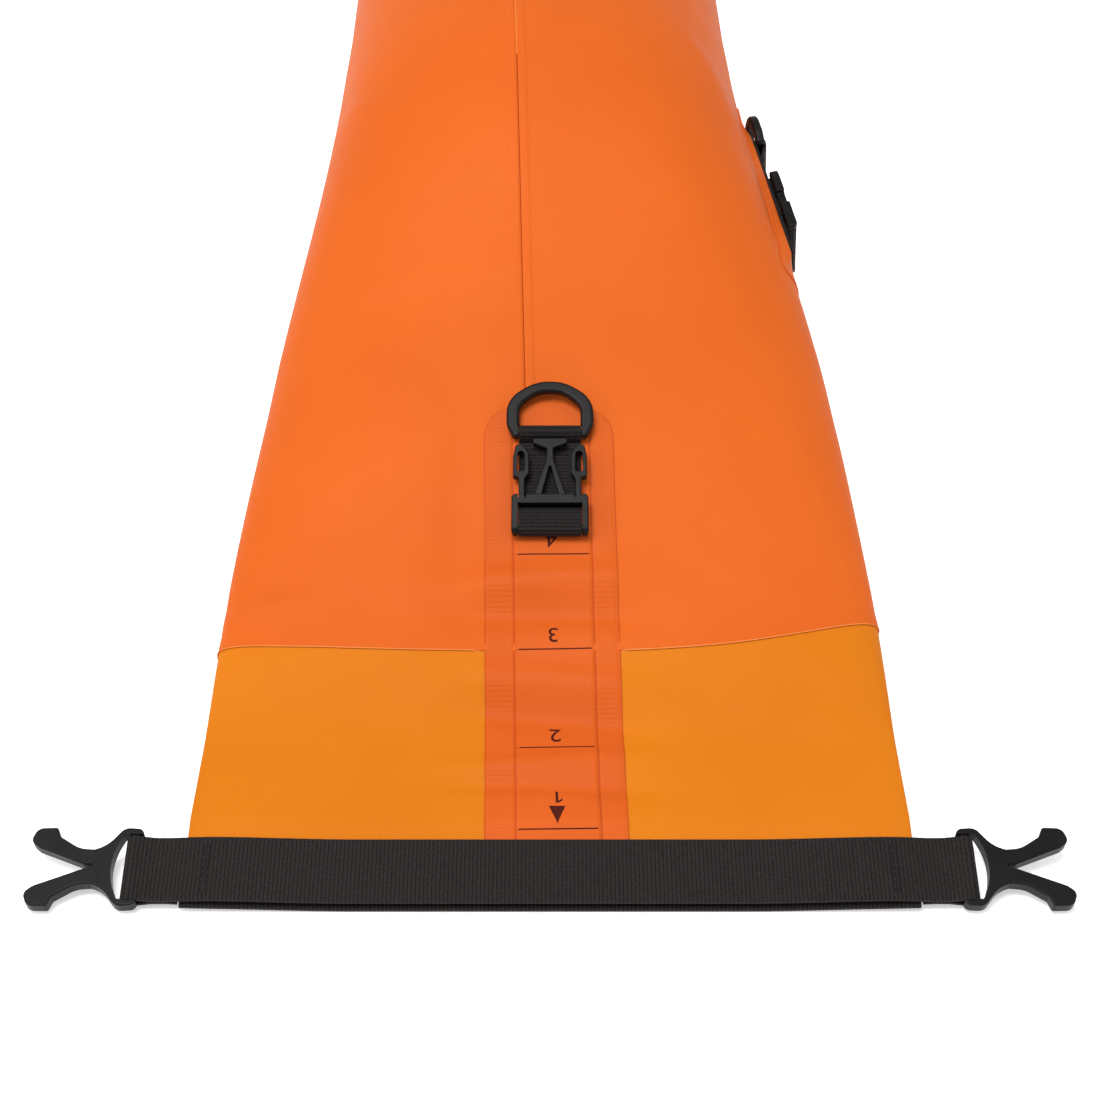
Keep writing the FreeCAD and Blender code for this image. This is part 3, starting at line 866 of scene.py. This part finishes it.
def ribbon(name, points, put, width=WEB_WIDTH, rounds=2):
    """Ribbed webbing along points, with put(along, across, off) giving its place."""
    path, total = even_path(points, WEB_PITCH / ROWS_PER_RIB)
    path = smooth_path(path, rounds)
    last = len(path) - 1

    def place(across, v):
        k = min(max(v / total * last, 0), last)
        i = min(int(k), last - 1)
        t = k - i
        here = (mix(path[i][0], path[i + 1][0], t), mix(path[i][1], path[i + 1][1], t))
        dx, dz = path[i + 1][0] - path[i][0], path[i + 1][1] - path[i][1]
        size = math.hypot(dx, dz) or 1.0
        selvedge = 1 - 0.7 * ease(width / 2 - 1.0, width / 2, abs(across))
        rib = 0.1 * math.sin(2 * math.pi * v / WEB_PITCH) * selvedge
        return put(here[0] - dz / size * rib, across, here[1] + dx / size * rib)

    piece = sheet(name, (-width / 2, width / 2), (0, total), (14, last), place)
    thicken(piece, WEB_THICK, 0.0)
    finish_mesh(piece)
    piece.data.materials.append(webbing)
    return piece


# %% [markdown]
# The closure has its own slope: it droops from the fold to the floor. Its frame has x across the
# bag, a distance back from the lip, and a height off the middle of the pressed mouth. The webbing
# passes round each fork's bar and comes back a little way behind. The bar's place is read from the
# joint that the fork swings on.

# %% The closure webbing
TILT = math.atan(0.194)
MID_HEIGHT = 4.7
BAR_X = next(abs(j["pos_m"][0]) for j in frame["joints"] if j["name"] == "right_fork_swing") / MM
BAR_LOOP = 1.9 + 0.08 + WEB_THICK / 2


def lip_point(x, back, off):
    y = back * math.cos(TILT) - off * math.sin(TILT)
    z = MID_HEIGHT + back * math.sin(TILT) + off * math.cos(TILT) - sag(x, 10.0)
    return Vector((x * MM, LIP_Y + y * MM, z * MM))


def closure_half():
    """Path from the middle of the front, round the right bar, to the end behind."""
    points = [(0.0, 1.75), (60.0, 1.75), (112.0, 1.75), (122.0, 1.65), (131.0, 1.2), (137.0, 0.72),
              (142.0, 0.8), (146.0, 1.7)]
    points += arc_points((BAR_X, 0.0), BAR_LOOP, 108, -108)
    points += [(146.0, -1.7), (142.0, -0.8), (137.0, -0.72), (132.4, -1.1)]
    return points


right_half = closure_half()
closure_path = [(-x, off) for x, off in reversed(right_half)] + right_half[1:]
front_web = ribbon("front_webbing_band", closure_path,
                   lambda x, across, off: lip_point(x, WEB_WIDTH / 2 + across, off))
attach(front_web, "mouth")
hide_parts("front_webbing")
back_path = [(-131.6, -1.3), (-120, -1.75), (0, -1.75), (120, -1.75), (131.6, -1.3)]
back_web = ribbon("back_webbing_band", back_path,
                  lambda x, across, off: lip_point(x, WEB_WIDTH / 2 - 1.3 + across, off))
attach(back_web, "mouth")
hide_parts("back_webbing")
print("closure webbing", len(front_web.data.polygons), "faces")

# %% [markdown]
# Two thin plastic strips are hidden between webbing and fabric. They make the mouth roll straight.

# %% The stiffeners
def stiffener(name, node, off):
    low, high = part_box(node)
    bm = bmesh.new()
    bmesh.ops.create_cube(bm, size=1.0)
    half = (high.x - low.x) / 2 / MM
    long_edges = [e for e in bm.edges if abs(e.verts[0].co.x - e.verts[1].co.x) > 0.5]
    bmesh.ops.subdivide_edges(bm, edges=long_edges, cuts=30, use_grid_fill=True)
    for vert in bm.verts:
        back = WEB_WIDTH / 2 + vert.co.y * 17.0
        vert.co = lip_point(vert.co.x * 2 * half, back, off + vert.co.z * 0.16)
    bmesh.ops.recalc_face_normals(bm, faces=bm.faces[:])
    piece = make_object(name, bm)
    piece.data.materials.append(strip_plastic)
    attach(piece, "mouth")
    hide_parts(node)
    return piece


stiffener("front_stiffener_strip", "front_stiffener", 1.22)
stiffener("back_stiffener_strip", "back_stiffener", -1.22)

# %% [markdown]
# A seam is only believable with its thread. One small helper lays a row of stitches: each is a
# short capsule made from a cube with rounded edges, sunk half into the webbing.

# %% Stitches
def add_stitch(bm, start, end, thick):
    direction = end - start
    made = bmesh.ops.create_cube(bm, size=1.0)["verts"]
    edges = {e for v in made for e in v.link_edges}
    rounded = bmesh.ops.bevel(bm, geom=list(edges), offset=0.28, segments=2, profile=0.5,
                              affect="EDGES", material=-1)
    turn = direction.to_track_quat("X", "Z")
    centre = (start + end) / 2
    verts = {v for f in rounded["faces"] for v in f.verts} | {v for v in made if v.is_valid}
    for vert in verts:
        flat = Vector((vert.co.x * direction.length, vert.co.y * thick, vert.co.z * thick))
        vert.co = centre + turn @ flat


def stitch_row(bm, put, start, end, pitch=2.6, thick=0.42):
    """Stitches from start to end, points in the ribbon's own two numbers."""
    count = max(int(math.dist(start, end) / pitch), 1)
    for k in range(count):
        a, b = (k + 0.12) / count, (k + 0.88) / count
        first = put(mix(start[0], end[0], a), mix(start[1], end[1], a))
        second = put(mix(start[0], end[0], b), mix(start[1], end[1], b))
        add_stitch(bm, first, second, thick * MM)


def stitches(name, rows, put, body):
    bm = bmesh.new()
    for start, end in rows:
        stitch_row(bm, put, start, end)
    piece = make_object(name, bm)
    piece.data.materials.append(thread)
    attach(piece, body)
    return piece


def closure_top(x, back):
    rise = 2.36 if abs(x) < 118 else mix(2.36, 1.42, ease(118, 136, abs(x)))
    return lip_point(x, back, rise)


end_rows = [((s * x, 2.6), (s * x, 22.4)) for s in (-1, 1) for x in (122.4, 124.2)]
stitches("closure_stitches", end_rows, closure_top, "mouth")

# %% [markdown]
# Each set of ring and buckle lies on its own tilted plane. The joints know where: the ring's hinge
# gives a point and the direction across, and an arm's squeeze gives the direction off the bag.

# %% Where the sets lie
RING_HEIGHT, BAR_HEIGHT = 3.0, 3.4


class Seat:
    """The plane that a set lies on: along the webbing, across it, and off the bag."""

    def __init__(self, name):
        joints = {j["name"]: j for j in frame["joints"]}
        ring = joints[name + "_ring_lift"]
        self.name = name
        self.across = -Vector(ring["axis"])
        self.normal = -Vector(joints[name + "_buckle_squeeze_a"]["axis"])
        self.along = self.across.cross(self.normal)
        self.ring = Vector(ring["pos_m"])
        bar = Vector(joints[name + "_buckle_lift"]["pos_m"])
        self.bar_at = (bar - self.ring).dot(self.along) / MM

    def put(self, along, across, off):
        off = off - RING_HEIGHT
        return self.ring + (self.along * along + self.across * across + self.normal * off) * MM


def strap_path(seat, tongue):
    bar = seat.bar_at
    loop = 1.7 + 0.08 + WEB_THICK / 2
    eye = 1.6 + 0.08 + WEB_THICK / 2
    points = [(bar + 9.4, 1.8), (bar + 8.3, 3.6), (bar + 6.6, 5.4), (bar + 3.0, BAR_HEIGHT + loop)]
    points += arc_points((bar, BAR_HEIGHT), loop, 90, 270)
    points += [(bar + 3.0, 0.95), (bar + 8.0, 0.7), (-3.5, 0.62)]
    points += arc_points((0.0, RING_HEIGHT), eye, -90, 90 if tongue else 150)
    if tongue:
        points += [(-3.0, 4.9), (-6.0, 3.5), (-9.0, 2.2), (-11.0, 1.8)]
    else:
        points += [(-2.6, 3.0), (-3.2, 1.9)]
    return points


seats = {name: Seat(name) for name in ("front", "right", "left")}
for name, seat in seats.items():
    piece = ribbon(name + "_strap_webbing", strap_path(seat, name != "front"), seat.put, rounds=3)
    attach(piece, "bag")
    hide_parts(name + "_strap")
    print(name, "bar at", round(seat.bar_at, 1))

# %% [markdown]
# Behind each side set is a welded patch. A ray from above each of its points finds the fabric, and
# the patch stands half a millimetre off it, rising to the webbing's plane under the strap.

# %% The side patches
tube_tree = BVHTree.FromPolygons([v.co.copy() for v in tube.data.vertices],
                                 [list(p.vertices) for p in tube.data.polygons])
PATCH_FROM, PATCH_TO, PATCH_HALF = -87.0, 24.0, 17.2


def patch_place(seat, across, along):
    corner = 6.0
    end = min(along - PATCH_FROM, PATCH_TO - along)
    if end < corner:
        across *= 1 - 0.35 * (1 - math.sqrt(max(1 - (1 - end / corner) ** 2, 0)))
    start = seat.put(along, across, 30.0)
    hit = tube_tree.ray_cast(start, -seat.normal, 0.08)[0]
    ground = 30.0 - (start - hit).length / MM if hit else -2.0
    under = ((1 - ease(12.6, 16.6, abs(across))) * ease(PATCH_FROM + 5, PATCH_FROM + 14, along)
             * (1 - ease(2.5, 14.0, along)))
    return seat.put(along, across, mix(ground + 0.7, max(-0.02, ground + 0.7), under))


for name in ("right", "left"):
    seat = seats[name]
    patch = sheet(name + "_side_patch", (-PATCH_HALF, PATCH_HALF), (PATCH_FROM, PATCH_TO), (36, 110),
                  lambda across, along, seat=seat: patch_place(seat, across, along))
    thicken(patch, 0.7, 1.0)
    finish_mesh(patch)
    patch.data.materials.append(orange)
    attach(patch, "bag")
    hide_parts(name + "_patch")

tail_path = [(-15.6, 0.62), (-10.0, 0.62), (-2.0, 0.62), (6.0, 0.5)]
for name in ("right", "left"):
    seat = seats[name]
    points = [(seat.bar_at + x, z) for x, z in tail_path]
    tail = ribbon(name + "_strap_tail", points, seat.put)
    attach(tail, "bag")

# %% [markdown]
# Bar tacks hold each strap down: two rows beside the ring's loop and two at the buckle.

# %% Bar tacks
for name, seat in seats.items():
    last = -13.0 if name != "front" else -7.0
    rows = [((x, -10.5), (x, 10.5)) for x in (last, last - 2.0)]
    if name != "front":
        rows += [((seat.bar_at + x, -10.5), (seat.bar_at + x, 10.5)) for x in (-12.5, -9.5)]
    stitches(name + "_bar_tacks", rows, lambda a, b, seat=seat: seat.put(a, b, 1.22), "bag")

# %% [markdown]
# The moulded pieces keep their CAD meshes and only get their finish.

# %% Finish of the moulded pieces
for node, item in frame["nodes"].items():
    if "fork" in node or "buckle" in node or "d_ring" in node:
        item.data.materials.clear()
        item.data.materials.append(plastic)

# %% [markdown]
# A pale floor, a wide soft light overhead and a little in front, two weaker ones at the sides, and a
# white room. The camera looks down at the mouth from in front, at the distance that gives the bag
# its taper.

# %% Stage, light and camera
FLOOR_SIZE = 12.0
FLOOR_GLOW = 0.45


def stage_floor():
    bm = bmesh.new()
    bmesh.ops.create_grid(bm, x_segments=1, y_segments=1, size=FLOOR_SIZE / 2)
    floor = make_object("floor", bm)
    finish = Finish("white_floor", 0.9)
    tone = finish.noise(finish.place(), 2.0)
    finish.link(finish.ramp(tone, [(0.3, (0.93, 0.93, 0.93)), (0.7, (0.95, 0.95, 0.95))]), "Base Color")
    finish.shader.inputs["Emission Color"].default_value = (1, 1, 1, 1)
    finish.shader.inputs["Emission Strength"].default_value = FLOOR_GLOW
    floor.data.materials.append(finish.material)


def soft_light(name, place, aim, size, power):
    data = bpy.data.lights.new(name, "AREA")
    data.shape = "DISK"
    data.size = size
    data.energy = power
    lamp = bpy.data.objects.new(name, data)
    lamp.location = place
    lamp.rotation_euler = (Vector(aim) - Vector(place)).to_track_quat("-Z", "Y").to_euler()
    bpy.context.scene.collection.objects.link(lamp)


stage_floor()
soft_light("top_softbox", (-0.45, -0.5, 2.2), (0, 0, 0), 1.1, 44)
soft_light("left_fill", (-1.8, -0.8, 1.1), (0, 0, 0.05), 1.2, 8)
soft_light("right_fill", (1.9, -0.2, 1.2), (0, 0, 0.05), 1.2, 5)

world = bpy.data.worlds.new("white_room")
world.use_nodes = True
world.node_tree.nodes["Background"].inputs["Color"].default_value = (1, 1, 1, 1)
world.node_tree.nodes["Background"].inputs["Strength"].default_value = 0.5
scene = bpy.context.scene
scene.world = world
scene.view_settings.view_transform = "Standard"

CAMERA_DOWN = 42.7
lens = bpy.data.cameras.new("camera")
lens.sensor_width = 36.0
lens.lens = 65.45
camera = bpy.data.objects.new("camera", lens)
camera.location = (0.0, LIP_Y + 0.025 - 0.461, 0.577)
camera.rotation_euler = (math.radians(90 - CAMERA_DOWN), 0, 0)
scene.collection.objects.link(camera)
scene.camera = camera
